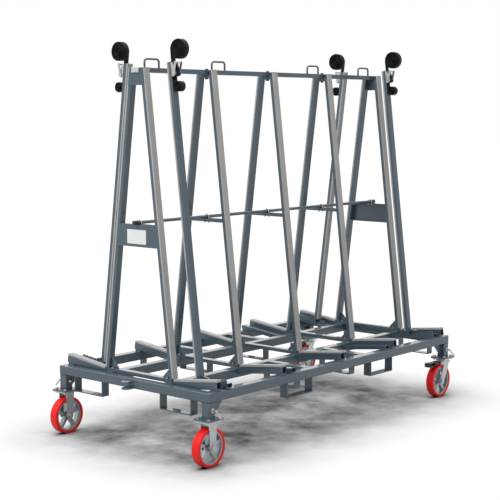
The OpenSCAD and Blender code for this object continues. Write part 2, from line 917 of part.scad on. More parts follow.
module wheel_core(sx, sy) {
    spoke_w = axle_d * 1.5;
    rim_in = core_r - rim_t;
    color(core_grey) at_wheel(sx, sy) difference() {
        union() {
            cylinder(h = hub_w, r = hub_r, center = true);
            linear_extrude(core_w, center = true) difference() {
                circle(core_r);
                circle(rim_in);
            }
            linear_extrude(core_w * 0.6, center = true) for (i = [0:spokes - 1]) {
                rotate(90 + i * 360 / spokes) polygon([
                    [0, -spoke_w / 2],
                    [rim_in + rim_t / 2, -spoke_w / 3],
                    [rim_in + rim_t / 2, spoke_w / 3],
                    [0, spoke_w / 2]
                ]);
            }
        }
        cylinder(h = hub_w + over, r = axle_d / 2 + run_fit, center = true);
    }
}

module wheel_tread(sx, sy) {
    shoulder = tread_t / 3;
    color(tread_red) at_wheel(sx, sy) rotate_extrude($fn = 96) {
        translate([core_r, -wheel_w / 2]) square([tread_t - shoulder, wheel_w]);
        translate([core_r, shoulder - wheel_w / 2]) square([tread_t, wheel_w - 2 * shoulder]);
        for (y = [-1, 1]) {
            translate([wheel_r - shoulder, y * (wheel_w / 2 - shoulder)]) circle(shoulder, $fn = 24);
        }
    }
}

// Hitch pins

pin_bend = 45;
handle_run = pin_drop / sin(pin_bend);
pin_neck = pin_out - handle_run * cos(pin_bend);
pin_tail = beam + pin_d;
handle_d = pin_d * 0.75;

// Drawn at a +Y corner, its shoulder against the outer face of the leg
module hitch_pin(sx, sy) {
    color(zinc) on_cart() at_corner(sx, sy)
        translate([end_beam_x, long_beam_y + beam / 2, pin_z]) {
            rod_y(-pin_tail, 0, pin_d);
            rod_y(0, handle_d / 2, 2 * pin_d);
            rod_y(0, pin_neck, handle_d);
            translate([0, pin_neck, 0]) {
                sphere(d = handle_d * 1.15);
                rotate([-90 - pin_bend, 0, 0]) cylinder(h = handle_run, d = handle_d);
            }
        }
}

// Retaining posts

shoe_top = rack_top + lie_gap + shoe_t;
shoe_out = stop_out + shoe_over;
shoe_in = stop_in;

// The heel line of the rail that a retaining post stands on
module at_stop(sx, sy) {
    on_cart() at_corner(sx, sy) translate([stop_x, 0, 0]) on_slope() children();
}

module retaining_post(sx, sy) {
    cheek_in = post_w / 2 + slide_gap / 2;
    pawl_out = stop_out + pawl_len;
    color(frame_paint) at_stop(sx, sy) {
        plain_tube([-post_w / 2, stop_in, shoe_top], [post_w / 2, stop_out, stop_top], 2);
        block([-cheek_in - shoe_t, shoe_in, shoe_top - shoe_t], [cheek_in + shoe_t, shoe_out, shoe_top]);
        for (s = [-1, 1]) {
            translate([s * (cheek_in + shoe_t / 2), 0, 0])
                block([-shoe_t / 2, shoe_in, rail_bottom + shoe_t / 2], [shoe_t / 2, shoe_out, shoe_top]);
        }
        across_x(-pawl_w / 2, pawl_w / 2) polygon([
            [stop_out, shoe_top - shoe_t],
            [pawl_out, shoe_top - shoe_t],
            [pawl_out, shoe_top],
            [stop_out + shoe_over, shoe_top - shoe_t + pawl_h],
            [stop_out, shoe_top - shoe_t + pawl_h]
        ]);
    }
}

module retaining_pad(sx, sy) {
    color(pad_grey) at_stop(sx, sy)
        block([-post_w / 2, stop_gap, shoe_top], [post_w / 2, stop_in, stop_top]);
}

// Ratchets and straps

ratchet_t = 1.6;
ratchet_in = web_w / 2 + ratchet_t / 2;
strap_u = stop_out + ratchet_t + lie_gap + web_t / 2;
spool_wrap_r = spool_d / 2 + lie_gap + web_t / 2 + spool_turns * web_pitch;
spool_u = strap_u + spool_wrap_r;
spool_v = ratchet_v + spool_wrap_r;
tooth_r = spool_wrap_r * 0.8;

module ratchet_frame(sx, sy) {
    color(zinc) at_stop(sx, sy) {
        block([-ratchet_in - ratchet_t, stop_out, ratchet_v],
              [ratchet_in + ratchet_t, stop_out + ratchet_t, ratchet_v + ratchet_h]);
        for (x = [-ratchet_in - ratchet_t, ratchet_in]) {
            across_x(x, x + ratchet_t) difference() {
                union() {
                    translate([spool_u, spool_v]) circle(spool_d);
                    polygon([
                        [stop_out, ratchet_v],
                        [spool_u, spool_v - spool_d],
                        [spool_u + spool_d, spool_v],
                        [stop_out + ratchet_d / 2, ratchet_v + ratchet_h],
                        [stop_out, ratchet_v + ratchet_h]
                    ]);
                }
                translate([spool_u, spool_v]) circle(spool_d / 2 + run_fit);
            }
        }
    }
}

module ratchet_wheel() {
    tip = tooth_r;
    root = tooth_r * 0.8;
    step = 360 / ratchet_teeth;
    polygon([for (i = [0:ratchet_teeth - 1], k = [0, 1])
        (k == 0 ? tip : root) * [cos(i * step), sin(i * step)]]);
}

// The handle with the spool and its two toothed wheels, which it turns
module ratchet_handle(sx, sy) {
    wheel_in = ratchet_in + ratchet_t + lie_gap;
    arm_in = wheel_in + ratchet_t + lie_gap;
    spool_half = arm_in + ratchet_t;
    grip_d = 8;
    color(zinc) at_stop(sx, sy) translate([0, spool_u, spool_v]) {
        rod_x(-spool_half, spool_half, spool_d);
        for (s = [0, 1]) {
            mirror([s, 0, 0]) {
                across_x(wheel_in, wheel_in + ratchet_t) ratchet_wheel();
                across_x(arm_in, arm_in + ratchet_t) {
                    circle(spool_d * 0.8);
                    polygon([
                        [-spool_d / 2, 0],
                        [spool_d / 2, 0],
                        [handle_reach + grip_d, handle_rise],
                        [handle_reach - grip_d, handle_rise]
                    ]);
                    translate([handle_reach, handle_rise]) circle(grip_d);
                }
            }
        }
        translate([0, handle_reach, handle_rise]) rod_x(-arm_in, arm_in, grip_d);
    }
}

handle_tilt = 18;
handle_reach = handle_len * sin(handle_tilt);
handle_rise = handle_len * cos(handle_tilt);

turn_points = 20;
big_roll_r = roll_core_r + web_pitch * big_turns;
small_roll_r = roll_core_r + web_pitch * small_turns;

// Points of a spiral round c that grows to r where it runs straight up or down the post
function roll(c, r, turns, hand) = [
    for (i = [0:turns * turn_points])
        let (left = turns - i / turn_points, a = 180 - hand * 360 * left)
            c + (r - web_pitch * left) * [cos(a), sin(a)]
];

// Points of the turns on the spool, from the straight run inward
function wrap(c, r, turns) = [
    for (i = [0:turns * turn_points])
        let (done = i / turn_points, a = 180 + 360 * done)
            c + (r - web_pitch * done) * [cos(a), sin(a)]
];

function backward(points) = [for (i = [len(points) - 1:-1:0]) points[i]];

// One face of the long strap, which runs from the large roll down onto the spool
function long_face(out) = concat(
    roll([strap_u + big_roll_r, big_roll_v], big_roll_r + out, big_turns, 1),
    wrap([spool_u, spool_v], spool_wrap_r + out, spool_turns));

// One face of the short strap, which runs from the small roll up to the ratchet's foot
function short_face(out) = concat(
    roll([strap_u + small_roll_r, small_roll_v], small_roll_r + out, small_turns, -1),
    [[strap_u - out, ratchet_v - lie_gap]]);

long_outer = long_face(web_t / 2);
long_inner = long_face(-web_t / 2);
short_outer = short_face(web_t / 2);
short_inner = short_face(-web_t / 2);

// Distance from p to the stretch from a to b
function off_stretch(p, a, b) =
    let (t = (p - a) * (b - a) / ((b - a) * (b - a)))
        norm(p - a - max(0, min(1, t)) * (b - a));

// Least distance from a turn's outer face to the inner face of the turn round it
function turn_gap(outer, inner, turns) = min([
    for (i = [0:(turns - 1) * turn_points - 1])
        off_stretch(outer[i], inner[i + turn_points], inner[i + turn_points + 1])
]);

echo(least_gap_of_large_roll = turn_gap(long_outer, long_inner, big_turns));
echo(least_gap_of_small_roll = turn_gap(short_outer, short_inner, small_turns));

module strap(sx, sy) {
    color(webbing_black) at_stop(sx, sy) across_x(-web_w / 2, web_w / 2) {
        polygon(concat(long_outer, backward(long_inner)));
        polygon(concat(short_outer, backward(short_inner)));
    }
}

long_beams();
end_beams();
inner_frame();
corner_legs();
fork_pockets();
tow_hitch();
foot_bars();
frame_posts();
post_pads();
ledge_arms();
ledge_pads();
slide_rails();
mid_braces();
top_brackets();
ridge_tube();
end_caps();
lifting_loops();
centre_rod();
frame_fasteners();
caster_plates();
rigid_forks();
rigid_axles();
swivel_fork(-1);  // swivel_fork_front
swivel_fork(1);  // swivel_fork_back
swivel_axle(-1);  // swivel_axle_front
swivel_axle(1);  // swivel_axle_back
brake_pedal(-1);  // brake_pedal_front
brake_pedal(1);  // brake_pedal_back
wheel_core(-1, -1);  // wheel_core_front_left
wheel_core(1, -1);  // wheel_core_front_right
wheel_core(-1, 1);  // wheel_core_back_left
wheel_core(1, 1);  // wheel_core_back_right
wheel_tread(-1, -1);  // wheel_tread_front_left
wheel_tread(1, -1);  // wheel_tread_front_right
wheel_tread(-1, 1);  // wheel_tread_back_left
wheel_tread(1, 1);  // wheel_tread_back_right
hitch_pin(-1, -1);  // hitch_pin_front_left
hitch_pin(1, -1);  // hitch_pin_front_right
hitch_pin(-1, 1);  // hitch_pin_back_left
hitch_pin(1, 1);  // hitch_pin_back_right
retaining_post(-1, -1);  // retaining_post_front_left
retaining_post(1, -1);  // retaining_post_front_right
retaining_post(-1, 1);  // retaining_post_back_left
retaining_post(1, 1);  // retaining_post_back_right
retaining_pad(-1, -1);  // retaining_pad_front_left
retaining_pad(1, -1);  // retaining_pad_front_right
retaining_pad(-1, 1);  // retaining_pad_back_left
retaining_pad(1, 1);  // retaining_pad_back_right
ratchet_frame(-1, -1);  // ratchet_frame_front_left
ratchet_frame(1, -1);  // ratchet_frame_front_right
ratchet_frame(-1, 1);  // ratchet_frame_back_left
ratchet_frame(1, 1);  // ratchet_frame_back_right
ratchet_handle(-1, -1);  // ratchet_handle_front_left
ratchet_handle(1, -1);  // ratchet_handle_front_right
ratchet_handle(-1, 1);  // ratchet_handle_back_left
ratchet_handle(1, 1);  // ratchet_handle_back_right
strap(-1, -1);  // strap_front_left
strap(1, -1);  // strap_front_right
strap(-1, 1);  // strap_back_left
strap(1, 1);  // strap_back_right
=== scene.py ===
import json
import math

import bmesh
import bpy
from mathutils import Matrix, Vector


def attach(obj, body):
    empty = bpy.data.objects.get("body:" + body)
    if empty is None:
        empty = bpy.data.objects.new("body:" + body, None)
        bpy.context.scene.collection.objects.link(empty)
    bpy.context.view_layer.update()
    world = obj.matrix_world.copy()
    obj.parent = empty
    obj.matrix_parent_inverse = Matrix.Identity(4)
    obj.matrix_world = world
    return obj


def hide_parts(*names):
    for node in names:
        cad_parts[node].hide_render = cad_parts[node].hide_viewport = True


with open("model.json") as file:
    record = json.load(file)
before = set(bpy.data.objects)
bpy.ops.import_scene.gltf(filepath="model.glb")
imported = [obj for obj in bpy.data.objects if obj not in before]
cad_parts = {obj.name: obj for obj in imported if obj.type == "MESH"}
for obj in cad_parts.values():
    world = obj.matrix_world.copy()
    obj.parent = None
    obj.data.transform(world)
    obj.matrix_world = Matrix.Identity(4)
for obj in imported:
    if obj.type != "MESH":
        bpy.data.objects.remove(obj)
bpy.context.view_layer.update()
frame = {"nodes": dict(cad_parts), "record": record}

# Where the cart's parts lie, in metres and degrees, as the CAD source has them
cart = {"lean": 7.0, "middleX": 0.022, "heelY": 0.25398, "heelZ": 0.40204, "postWidth": 0.038,
        "postIn": -0.029, "postOut": -0.010, "postEndX": 1.067, "frames": 5, "framePitch": 0.524,
        "beam": 0.050, "baseTop": 0.381, "beamBottom": 0.331, "footTop": 0.40063,
        "railOff": 0.21998, "longBeamY": 0.530, "endBeamX": 1.103, "stopX": 0.970}
sides = {"front": -1, "back": 1}
ends = {"left": -1, "right": 1}
lean = math.radians(cart["lean"])


# Shader arithmetic

def feed(tree, slot, value):
    if isinstance(value, Term):
        tree.links.new(value.socket, slot)
    else:
        slot.default_value = value


def reckon(tree, operation, *values):
    node = tree.nodes.new("ShaderNodeMath")
    node.operation = operation
    for slot, value in zip(node.inputs, values):
        feed(tree, slot, value)
    return Term(tree, node.outputs[0])


# A shader socket that takes part in Python arithmetic
class Term:
    def __init__(self, tree, socket):
        self.tree = tree
        self.socket = socket

    # Another output of this socket's node
    def beside(self, name):
        return Term(self.tree, self.socket.node.outputs[name])

    def __add__(self, value):
        return reckon(self.tree, "ADD", self, value)

    def __mul__(self, value):
        return reckon(self.tree, "MULTIPLY", self, value)

    def __sub__(self, value):
        return reckon(self.tree, "SUBTRACT", self, value)

    def __rsub__(self, value):
        return reckon(self.tree, "SUBTRACT", value, self)

    def __truediv__(self, value):
        return reckon(self.tree, "DIVIDE", self, value)

    def __rtruediv__(self, value):
        return reckon(self.tree, "DIVIDE", value, self)

    def __pow__(self, value):
        return reckon(self.tree, "POWER", self, value)

    def __rpow__(self, value):
        return reckon(self.tree, "POWER", value, self)

    def __abs__(self):
        return reckon(self.tree, "ABSOLUTE", self)

    def __gt__(self, value):
        return reckon(self.tree, "GREATER_THAN", self, value)

    def __lt__(self, value):
        return reckon(self.tree, "LESS_THAN", self, value)

    __radd__ = __add__
    __rmul__ = __mul__

    def atLeast(self, value):
        return reckon(self.tree, "MAXIMUM", self, value)

    def atMost(self, value):
        return reckon(self.tree, "MINIMUM", self, value)

    def clamped(self):
        return self.atLeast(0).atMost(1)

    def sine(self):
        return reckon(self.tree, "SINE", self)


# A node tree and its shader, with one method that adds any node
class Graph:
    def __init__(self, tree, shader):
        self.tree = tree
        self.shader = tree.nodes[shader]

    def set(self, values):
        for name, value in values.items():
            feed(self.tree, self.shader.inputs[name], value)

    def add(self, kind, settings, values, output=0):
        node = self.tree.nodes.new("ShaderNode" + kind)
        for name, value in settings.items():
            setattr(node, name, value)
        for name, value in values.items():
            feed(self.tree, node.inputs[name], value)
        return Term(self.tree, node.outputs[output])

    def parts(self, vector):
        split = self.add("SeparateXYZ", {}, {"Vector": vector})
        return {name: split.beside(name) for name in "XYZ"}


class Surface(Graph):
    def __init__(self, name, **constants):
        self.material = bpy.data.materials.new(name)
        self.material.use_nodes = True
        super().__init__(self.material.node_tree, "Principled BSDF")
        self.set(constants)

    def place(self):
        return self.add("TexCoord", {}, {}, "Object")

    def noise(self, scale, detail=2.0, roughness=0.5, stretch=(1, 1, 1)):
        place = self.add("Mapping", {}, {"Vector": self.place(), "Scale": stretch})
        values = {"Vector": place, "Scale": scale, "Detail": detail, "Roughness": roughness}
        return self.add("TexNoise", {}, values)

    # Separate spots, where a noise rises over a level
    def spots(self, scale, detail, roughness, level, steepness, stretch=(1, 1, 1)):
        return ((self.noise(scale, detail, roughness, stretch) - level) * steepness).clamped()

    def blend(self, low, high, share):
        return self.add("Mix", {"data_type": "RGBA"}, {0: share, 6: low, 7: high}, 2)

    def bump(self, height, depth, strength=1.0):
        return self.add("Bump", {}, {"Height": height, "Distance": depth, "Strength": strength})

    # 1 along the outer edges and 0 on the flats
    def edge(self, radius, steepness=6):
        soft = self.add("Bevel", {"samples": 4}, {"Radius": radius})
        flat = self.add("NewGeometry", {}, {}, "Normal")
        likeness = self.add("VectorMath", {"operation": "DOT_PRODUCT"}, {0: soft, 1: flat}, "Value")
        return ((1 - likeness) * steepness).clamped()


# A colour as a picture program writes it, 0 to 255
def colour(red, green, blue):
    def linear(value):
        share = value / 255
        return share / 12.92 if share < 0.04045 else ((share + 0.055) / 1.055) ** 2.4
    return (linear(red), linear(green), linear(blue), 1.0)


def grey(level):
    return (level, level, level, 1.0)


# Finishes. A look is a set of terms or numbers for one finish, and a surface wears one look,
# or two that share it. A noise is given by its scale, detail and roughness, and spots by a noise,
# the level that they rise over and their steepness.

paint = {"low": (57, 73, 84), "high": (70, 86, 97), "cloud": (5, 4), "roughness": 0.22,
         "peel": (900, 3), "peelDepth": 0.00008, "peelDulls": 0.10, "worn": (128, 138, 146),
         "scuff": (38, 6, 0.7, 0.62, 5, (1, 1, 0.35)), "scuffShows": 0.10, "scuffDulls": 0.12,
         "rubReach": 0.0012, "rub": (60, 4), "rubShows": 0.9,
         "coat": 0.1, "coatOnTop": 0.9, "topFrom": 0.6, "topSteepness": 3}


def paintLook(surface):
    peel = surface.noise(*paint["peel"])
    cloud = surface.noise(*paint["cloud"])
    up = surface.parts(surface.add("NewGeometry", {}, {}, "Normal"))["Z"]
    top = ((up - paint["topFrom"]) * paint["topSteepness"]).clamped()
    scuff = surface.spots(*paint["scuff"])
    rub = surface.edge(paint["rubReach"]) * surface.noise(*paint["rub"])
    base = surface.blend(colour(*paint["low"]), colour(*paint["high"]), cloud)
    wornShare = (rub * paint["rubShows"] + scuff * paint["scuffShows"]).clamped()
    dulled = peel * paint["peelDulls"] + scuff * paint["scuffDulls"]
    return {"colour": surface.blend(base, colour(*paint["worn"]), wornShare),
            "roughness": paint["roughness"] + dulled,
            "height": peel * paint["peelDepth"], "metal": 0.0,
            "coat": top * paint["coatOnTop"] + paint["coat"]}


zinc = {"low": (152, 154, 156), "high": (192, 194, 196), "cloud": (32, 3), "metal": 0.95,
        "roughness": 0.24, "brush": (240, 4, 0.6, (1, 1, 0.12)), "brushDepth": 0.00005,
        "brushDulls": 0.18, "stained": (140, 137, 129), "stain": (70, 5, 0.7, 0.58, 4),
        "stainShows": 0.5, "stainDulls": 0.1}


def zincLook(surface):
    brushed = surface.noise(*zinc["brush"])
    cloud = surface.noise(*zinc["cloud"])
    stain = surface.spots(*zinc["stain"])
    base = surface.blend(colour(*zinc["low"]), colour(*zinc["high"]), cloud)
    dulled = brushed * zinc["brushDulls"] + stain * zinc["stainDulls"]
    return {"colour": surface.blend(base, colour(*zinc["stained"]), stain * zinc["stainShows"]),
            "roughness": zinc["roughness"] + dulled,
            "height": brushed * zinc["brushDepth"], "metal": zinc["metal"], "coat": 0.0}


# Each kind of plastic is a low and a high colour and a roughness
plastic = {"grain": (1100, 3), "grainDepth": 0.00006, "grainDulls": 0.12, "cloud": (30, 3),
           "rodCap": ((22, 23, 24), (34, 35, 36), 0.42), "bolt": ((28, 29, 30), (44, 45, 46), 0.34),
           "cap": ((176, 176, 172), (190, 190, 186), 0.45), "pedal": ((38, 42, 42), (52, 56, 56), 0.38)}


def plasticLook(surface, kind):
    low, high, roughness = plastic[kind]
    grain = surface.noise(*plastic["grain"])
    cloud = surface.noise(*plastic["cloud"])
    return {"colour": surface.blend(colour(*low), colour(*high), cloud),
            "roughness": roughness + grain * plastic["grainDulls"],
            "height": grain * plastic["grainDepth"], "metal": 0.0, "coat": 0.0}


def wear(surface, look):
    surface.set({"Base Color": look["colour"], "Roughness": look["roughness"],
                 "Metallic": look["metal"], "Coat Weight": look["coat"],
                 "Normal": surface.bump(look["height"], 1.0)})
    return surface.material


def joinLooks(surface, first, second, share):
    joined = {name: first[name] * (1 - share) + second[name] * share
              for name in ("roughness", "height", "metal", "coat")}
    joined["colour"] = surface.blend(first["colour"], second["colour"], share)
    return joined


def lookSurface(name, look, *kind):
    surface = Surface(name)
    return wear(surface, look(surface, *kind))


# Where one finish of a node ends and the next begins, in metres
change = {"rodPaintEnd": 1.0665, "adapterBottom": 0.2415, "blackBoltsFrom": 1.9}


# The centre rod's paint stops at its black end caps
def rodSurface():
    surface = Surface("rodPaint")
    along = surface.parts(surface.place())["X"] - cart["middleX"]
    isCap = abs(along) > change["rodPaintEnd"]
    cap = plasticLook(surface, "rodCap")
    return wear(surface, joinLooks(surface, paintLook(surface), cap, isCap))


# The adapter plates are painted with the frame, and what hangs under them is zinc
def plateSurface():
    surface = Surface("casterPlates")
    isPainted = surface.parts(surface.place())["Z"] > change["adapterBottom"]
    return wear(surface, joinLooks(surface, zincLook(surface), paintLook(surface), isPainted))


# The bolts through the ridge are black, and the other fasteners zinc
def fastenerSurface():
    surface = Surface("fasteners")
    isBlack = surface.parts(surface.place())["Z"] > change["blackBoltsFrom"]
    black = plasticLook(surface, "bolt")
    return wear(surface, joinLooks(surface, zincLook(surface), black, isBlack))


rubber = {"low": (149, 150, 149), "high": (167, 167, 166), "cloud": (7, 5), "roughness": 0.62,
          "gloss": 0.25, "grain": (1400, 2), "grainDepth": 0.00015, "grainDulls": 0.18,
          "grainShows": 0.7, "marked": (120, 119, 117), "mark": (24, 7, 0.75, 0.60, 4),
          "markShows": 0.25}


def rubberSurface():
    surface = Surface("padRubber")
    grain = surface.noise(*rubber["grain"])
    cloud = surface.noise(*rubber["cloud"])
    mark = surface.spots(*rubber["mark"])
    base = surface.blend(colour(*rubber["low"]), colour(*rubber["high"]), cloud)
    worn = surface.blend(base, colour(*rubber["marked"]), mark * rubber["markShows"])
    surface.set({"Base Color": worn, "Specular IOR Level": rubber["gloss"],
                 "Roughness": rubber["roughness"] + grain * rubber["grainDulls"],
                 "Normal": surface.bump(grain, rubber["grainDepth"], rubber["grainShows"])})
    return surface.material


cast = {"low": (142, 146, 149), "high": (184, 188, 190), "cloud": (22, 3), "metal": 0.85,
        "roughness": 0.30, "sand": (520, 5, 0.65), "sandDepth": 0.0003, "sandDulls": 0.2,
        "sandShows": 0.7, "rubbed": (190, 196, 198), "rubReach": 0.0015, "rubShows": 0.5}


def castSurface():
    surface = Surface("wheelCore", Metallic=cast["metal"])
    sand = surface.noise(*cast["sand"])
    cloud = surface.noise(*cast["cloud"])
    rub = surface.edge(cast["rubReach"])
    base = surface.blend(colour(*cast["low"]), colour(*cast["high"]), cloud)
    worn = surface.blend(base, colour(*cast["rubbed"]), rub * cast["rubShows"])
    surface.set({"Base Color": worn, "Roughness": cast["roughness"] + sand * cast["sandDulls"],
                 "Normal": surface.bump(sand, cast["sandDepth"], cast["sandShows"])})
    return surface.material


tread = {"low": (218, 20, 22), "high": (236, 32, 30), "cloud": (14, 4), "roughness": 0.36,
         "gloss": 0.28, "skin": (420, 3), "skinDepth": 0.00012, "skinDulls": 0.14,
         "skinShows": 0.5, "dusty": (150, 60, 54), "dust": (46, 6, 0.72, 0.60, 4),
         "dustShows": 0.25, "dustDulls": 0.14}


def treadSurface():
    surface = Surface("redTread")
    skin = surface.noise(*tread["skin"])
    cloud = surface.noise(*tread["cloud"])
    dust = surface.spots(*tread["dust"])
    base = surface.blend(colour(*tread["low"]), colour(*tread["high"]), cloud)
    worn = surface.blend(base, colour(*tread["dusty"]), dust * tread["dustShows"])
    dulled = skin * tread["skinDulls"] + dust * tread["dustDulls"]
    surface.set({"Base Color": worn, "Roughness": tread["roughness"] + dulled,
                 "Specular IOR Level": tread["gloss"],
                 "Normal": surface.bump(skin, tread["skinDepth"], tread["skinShows"])})
    return surface.material


webbing = {"low": (4, 4, 5), "high": (20, 20, 21), "roughness": 0.30, "gloss": 0.13,
           "weftPitch": 0.0022, "weftHeight": 0.35, "weftSway": 1.2,
           "warpPitch": 0.0014, "warpHeight": 0.5, "fuzz": (900, 4), "fuzzDulls": 0.2,
           "yarnTint": 0.3, "fuzzTint": 0.7, "yarnDepth": 0.0003, "yarnShows": 0.8}


# Webbing is woven along its own run and width, which each strap's mesh keeps as an attribute
def webbingSurface():
    surface = Surface("webbing")
    run = surface.parts(surface.add("Attribute", {"attribute_name": "weave"}, {}, "Vector"))
    weft = (run["X"] * 2 * math.pi / webbing["weftPitch"]).sine()
    sway = weft * webbing["weftSway"]
    warp = (run["Y"] * 2 * math.pi / webbing["warpPitch"] + sway).sine()
    yarn = weft * webbing["weftHeight"] + warp * webbing["warpHeight"]
    fuzz = surface.noise(*webbing["fuzz"])
    share = (yarn * webbing["yarnTint"] + fuzz * webbing["fuzzTint"]).clamped()
    tint = surface.blend(colour(*webbing["low"]), colour(*webbing["high"]), share)
    surface.set({"Base Color": tint, "Specular IOR Level": webbing["gloss"],
                 "Roughness": webbing["roughness"] + fuzz * webbing["fuzzDulls"],
                 "Normal": surface.bump(yarn + fuzz, webbing["yarnDepth"], webbing["yarnShows"])})
    return surface.material


# CAD nodes

# A node wears its own material where it has one, and otherwise that of its slot
def paintNodes(materials):
    slots = {entry["node"]: entry["material_slot"] for entry in frame["record"]["subparts"]}
    for name, node in frame["nodes"].items():
        node.data.materials.clear()
        node.data.materials.append(materials.get(name, materials[slots[name]]))
        for polygon in node.data.polygons:
            polygon.material_index = 0


soften = {"weldReach": 0.00001, "width": 0.0008, "segments": 2, "angle": 50}


def softenEdges():
    for node in frame["nodes"].values():
        joined = node.modifiers.new("weld", "WELD")
        joined.merge_threshold = soften["weldReach"]
        bevel = node.modifiers.new("bevel", "BEVEL")
        bevel.width = soften["width"]
        bevel.segments = soften["segments"]
        bevel.limit_method = "ANGLE"
        bevel.angle_limit = math.radians(soften["angle"])
        bevel.harden_normals = True


# Mesh making

def makeObject(name, mesh, material, smooth=True):
    bmesh.ops.recalc_face_normals(mesh, faces=mesh.faces)
    data = bpy.data.meshes.new(name)
    mesh.to_mesh(data)
    mesh.free()
    piece = bpy.data.objects.new(name, data)
    bpy.context.scene.collection.objects.link(piece)
    data.materials.append(material)
    if smooth:
        data.shade_smooth()
    return piece


# Faces between rings of the same count, closed at the start and, unless told otherwise, the end
def skinRings(mesh, rings, closeEnd=True):
    count = len(rings[0])
    for near, far in zip(rings, rings[1:]):
        for i in range(count):
            after = (i + 1) % count
            mesh.faces.new((near[i], near[after], far[after], far[i]))
    mesh.faces.new(rings[0])
    if closeEnd:
        mesh.faces.new(reversed(rings[-1]))


def roundedOutline(width, height, corner, steps=6):
    points = []
    for quarter, (across, up) in enumerate(((1, 1), (-1, 1), (-1, -1), (1, -1))):
        for i in range(steps + 1):
            angle = math.pi / 2 * (quarter + i / steps)
            points.append((across * (width / 2 - corner) + corner * math.cos(angle),
                           up * (height / 2 - corner) + corner * math.sin(angle)))
    return points


# The slope frame of a corner: u runs out along the ledge, v up along the post
def slopePoint(x, u, v, side):
    y = cart["heelY"] + u * math.cos(lean) - v * math.sin(lean)
    z = cart["heelZ"] + u * math.sin(lean) + v * math.cos(lean)
    return Vector((x, side * y, z))


# Straps

strap = {"width": 0.035, "taken": 0.985, "thickness": 0.0024, "rounding": 0.6, "shoulder": 0.9,
         "pitch": 0.0032, "coreRadius": 0.0018, "bigTurns": 15.5, "smallTurns": 8,
         "spoolTurns": 2, "u": 0.1181, "spoolU": 0.1325, "spoolV": 1.5644, "bigV": 1.684,
         "smallV": 1.498, "footV": 1.5497, "pointsPerTurn": 60, "waver": 0.0004, "waverRate": 21}


def spiral(centre, radius, turns, hand, inward):
    perTurn = strap["pointsPerTurn"]
    points = []
    for i in range(round(turns * perTurn) + 1):
        left = i / perTurn if inward else turns - i / perTurn
        angle = math.pi + (hand if inward else -hand) * 2 * math.pi * left
        reach = radius - strap["pitch"] * left
        points.append((centre[0] + reach * math.cos(angle), centre[1] + reach * math.sin(angle)))
    return points


# The large roll runs down onto the spool, and the small one hangs from the ratchet's foot
def strapRuns():
    u, big, small = strap["u"], strap["bigTurns"], strap["smallTurns"]
    bigRadius = strap["coreRadius"] + strap["pitch"] * big
    smallRadius = strap["coreRadius"] + strap["pitch"] * small
    spoolRadius = strap["spoolU"] - u
    longRun = spiral((u + bigRadius, strap["bigV"]), bigRadius, big, 1, False)
    longRun += spiral((strap["spoolU"], strap["spoolV"]), spoolRadius, strap["spoolTurns"], 1, True)
    shortRun = spiral((u + smallRadius, strap["smallV"]), smallRadius, small, -1, False)
    shortRun.append((u, strap["footV"]))
    return longRun, shortRun


# The outline of the webbing's section, its edges rounded
def ribbonSection():
    half, thick = strap["width"] / 2, strap["thickness"] / 2
    inner, shoulder = half - thick * strap["rounding"], thick * strap["shoulder"]
    return [(-half, 0), (-inner, shoulder), (0, thick), (inner, shoulder),
            (half, 0), (inner, -shoulder), (0, -thick), (-inner, -shoulder)]


# Webbing swept along a run of (u, v) points, wavering a little
def addRibbon(mesh, weave, run, x, side, phase):
    section = ribbonSection()
    rings = []
    length = 0.0
    for i, here in enumerate(run):
        before = Vector(run[max(i - 1, 0)])
        after = Vector(run[min(i + 1, len(run) - 1)])
        heading = (after - before).normalized()
        normal = Vector((-heading.y, heading.x))
        length += (Vector(here) - before).length
        shift = strap["waver"] * math.sin(length * strap["waverRate"] + phase)
        ring = []
        for across, out in section:
            place = Vector(here) + normal * out
            sideways = (across + shift) * strap["taken"]
            vertex = mesh.verts.new(slopePoint(x + sideways, place.x, place.y, side))
            vertex[weave] = Vector((length, across, out))
            ring.append(vertex)
        rings.append(ring)
    skinRings(mesh, rings)


def makeStraps(material):
    longRun, shortRun = strapRuns()
    for sideName, side in sides.items():
        for endName, end in ends.items():
            corner = f"{sideName}_{endName}"
            mesh = bmesh.new()
            weave = mesh.verts.layers.float_vector.new("weave")
            x = cart["middleX"] + end * cart["stopX"]
            addRibbon(mesh, weave, longRun, x, side, 1.0 + side + 2 * end)
            addRibbon(mesh, weave, shortRun, x, side, 4.0 + side + 2 * end)
            piece = makeObject(f"webbing_{corner}", mesh, material)
            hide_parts(f"strap_{corner}")
            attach(piece, f"stop_{corner}")


# Weld beads, each a run of ripples sunk half into the corner that it fills

weld = {"radius": 0.0019, "ripple": 0.0034, "swell": 0.16, "sides": 6, "stepsPerRipple": 4,
        "endSize": 0.25, "endGrowth": 0.5, "inset": 0.004, "mitreSink": 0.0008}


def addBead(mesh, start, end):
    start, end = Vector(start), Vector(end)
    length = (end - start).length
    heading = (end - start).normalized()
    first = heading.orthogonal().normalized()
    second = heading.cross(first)
    count = max(4, round(length / weld["ripple"] * weld["stepsPerRipple"]))
    rings = []
    for i in range(count + 1):
        along = length * i / count
        fromEnd = min(along, length - along) / weld["radius"]
        taper = math.sqrt(min(1.0, weld["endSize"] + fromEnd * weld["endGrowth"]))
        swell = 1 + weld["swell"] * math.cos(2 * math.pi * along / weld["ripple"])
        radius = weld["radius"] * swell * taper
        ring = []
        for k in range(weld["sides"]):
            angle = 2 * math.pi * k / weld["sides"]
            out = first * math.cos(angle) + second * math.sin(angle)
            ring.append(mesh.verts.new(start + heading * along + out * radius))
        rings.append(ring)
    skinRings(mesh, rings)


# The y at which the face at u of a post crosses a height
def faceY(u, z):
    v = (z - cart["heelZ"] - u * math.sin(lean)) / math.cos(lean)
    return cart["heelY"] + u * math.cos(lean) - v * math.sin(lean)


